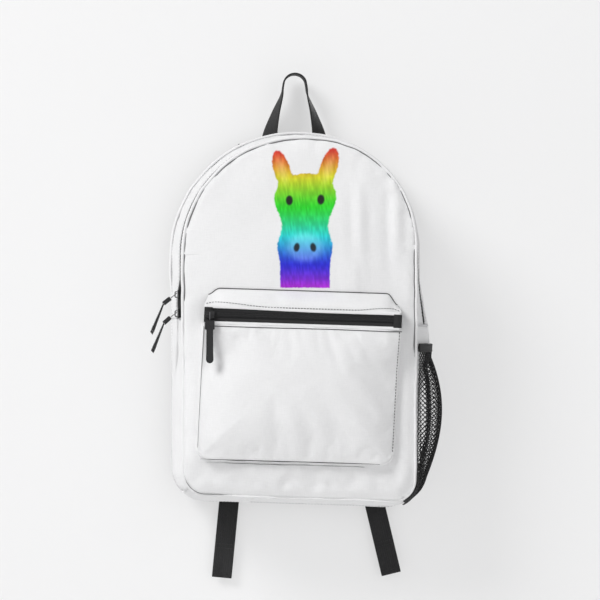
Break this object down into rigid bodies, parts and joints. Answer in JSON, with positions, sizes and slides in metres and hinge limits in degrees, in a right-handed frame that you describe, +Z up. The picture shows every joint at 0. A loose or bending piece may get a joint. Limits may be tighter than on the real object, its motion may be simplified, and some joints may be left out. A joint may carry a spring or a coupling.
{
  "type": "backpack",
  "caption": "Small day backpack with domed top, arched main zip, zipped front pocket, mesh side pocket, padded shoulder straps and a haul loop to hang it by.",
  "frame": {"origin": "underside of the haul loop at its highest point, where a peg or a hand bears", "axes": "+X to the viewer's right as seen from the front, +Y towards the back panel and straps, +Z up"},
  "size_m": [0.3238, 0.1671, 0.5724],
  "materials": {
    "white_canvas": "plain weave polyester canvas, matt",
    "black_canvas": "black plain weave canvas, matt",
    "foam": "closed-cell padding, matt",
    "lining": "thin lining cloth, matt",
    "webbing": "ribbed woven webbing, slight sheen",
    "zip_tape": "herringbone woven tape",
    "zip_coil": "nylon coil",
    "zip_slider": "black enamel, satin",
    "pull_rubber": "moulded rubber, matt",
    "mesh": "open knitted net",
    "buckle_plastic": "moulded acetal, fine texture"
  },
  "bodies": {
    "bag": {"front_panel": "white_canvas", "front_piping": "white_canvas", "rear_piping": "white_canvas", "top_gusset_front": "white_canvas", "top_gusset_rear": "white_canvas", "side_panel_left": "white_canvas", "side_panel_right": "white_canvas", "bottom_panel": "white_canvas", "pocket_front": "white_canvas", "pocket_top": "white_canvas", "pocket_gusset_left": "white_canvas", "pocket_gusset_right": "white_canvas", "pocket_gusset_bottom": "white_canvas", "back_panel": "black_canvas", "back_foam": "foam", "back_lining": "lining", "laptop_sleeve": "lining", "sleeve_binding": "webbing", "main_zip_tape_front": "zip_tape", "main_zip_tape_rear": "zip_tape", "pocket_zip_tape_upper": "zip_tape", "pocket_zip_tape_lower": "zip_tape", "pocket_zip_end_left": "zip_tape", "pocket_zip_end_right": "zip_tape", "main_zip_coil": "zip_coil", "pocket_zip_coil": "zip_coil", "side_mesh_pocket": "mesh", "mesh_pocket_binding": "webbing", "haul_loop": "webbing", "strap_yoke": "webbing", "strap_webbing_left": "webbing", "strap_anchor_left": "webbing", "strap_webbing_right": "webbing", "strap_anchor_right": "webbing"},
    "upper_runner": {"main_upper_slider": "zip_slider", "main_upper_bridge": "zip_slider"},
    "upper_grip": {"main_upper_link": "zip_slider", "main_upper_pull": "pull_rubber"},
    "lower_runner": {"main_lower_slider": "zip_slider", "main_lower_bridge": "zip_slider"},
    "lower_grip": {"main_lower_link": "zip_slider", "main_lower_pull": "pull_rubber"},
    "pocket_runner": {"pocket_slider": "zip_slider", "pocket_bridge": "zip_slider"},
    "pocket_grip": {"pocket_link": "zip_slider", "pocket_pull": "pull_rubber"},
    "strap_left": {"strap_pad_left": "black_canvas", "buckle_loop_left": "webbing", "ladder_lock_left": "buckle_plastic", "webbing_turn_left": "webbing"},
    "tail_left": {"strap_tail_left": "webbing", "tail_hem_left": "webbing"},
    "strap_right": {"strap_pad_right": "black_canvas", "buckle_loop_right": "webbing", "ladder_lock_right": "buckle_plastic", "webbing_turn_right": "webbing"},
    "tail_right": {"strap_tail_right": "webbing", "tail_hem_right": "webbing"}
  },
  "joints": [
    {"name": "upper_slider_run", "type": "slide", "parent": "bag", "child": "upper_runner", "axis": [0, 0, 1], "range_m": [0, 0.04]},
    {"name": "upper_pull_swing", "type": "hinge", "parent": "upper_runner", "child": "upper_grip", "pos_m": [-0.13545, -0.0866, -0.25], "axis": [0, 0, 1], "range_deg": [-50, 50]},
    {"name": "lower_slider_run", "type": "slide", "parent": "bag", "child": "lower_runner", "axis": [0, 0, 1], "range_m": [0, 0.005]},
    {"name": "lower_pull_swing", "type": "hinge", "parent": "lower_runner", "child": "lower_grip", "pos_m": [-0.13545, -0.0866, -0.271], "axis": [0, 0, 1], "range_deg": [-50, 50]},
    {"name": "pocket_slider_run", "type": "slide", "parent": "bag", "child": "pocket_runner", "axis": [0.9995, 0, -0.0314], "range_m": [0, 0.19]},
    {"name": "pocket_pull_lift", "type": "hinge", "parent": "pocket_runner", "child": "pocket_grip", "pos_m": [-0.09825, -0.1501, -0.27213], "axis": [-1, 0, 0], "range_deg": [0, 100]},
    {"name": "strap_left_lift", "type": "hinge", "parent": "bag", "child": "strap_left", "pos_m": [-0.034, 0.0074, -0.1045], "axis": [1, 0, 0], "range_deg": [0, 15]},
    {"name": "tail_left_swing", "type": "hinge", "parent": "strap_left", "child": "tail_left", "pos_m": [-0.068, 0.0118, -0.421], "axis": [1, 0, 0], "range_deg": [-4, 45]},
    {"name": "strap_right_lift", "type": "hinge", "parent": "bag", "child": "strap_right", "pos_m": [0.034, 0.0074, -0.1045], "axis": [1, 0, 0], "range_deg": [0, 15]},
    {"name": "tail_right_swing", "type": "hinge", "parent": "strap_right", "child": "tail_right", "pos_m": [0.076, 0.0118, -0.421], "axis": [1, 0, 0], "range_deg": [-4, 45]}
  ]
}
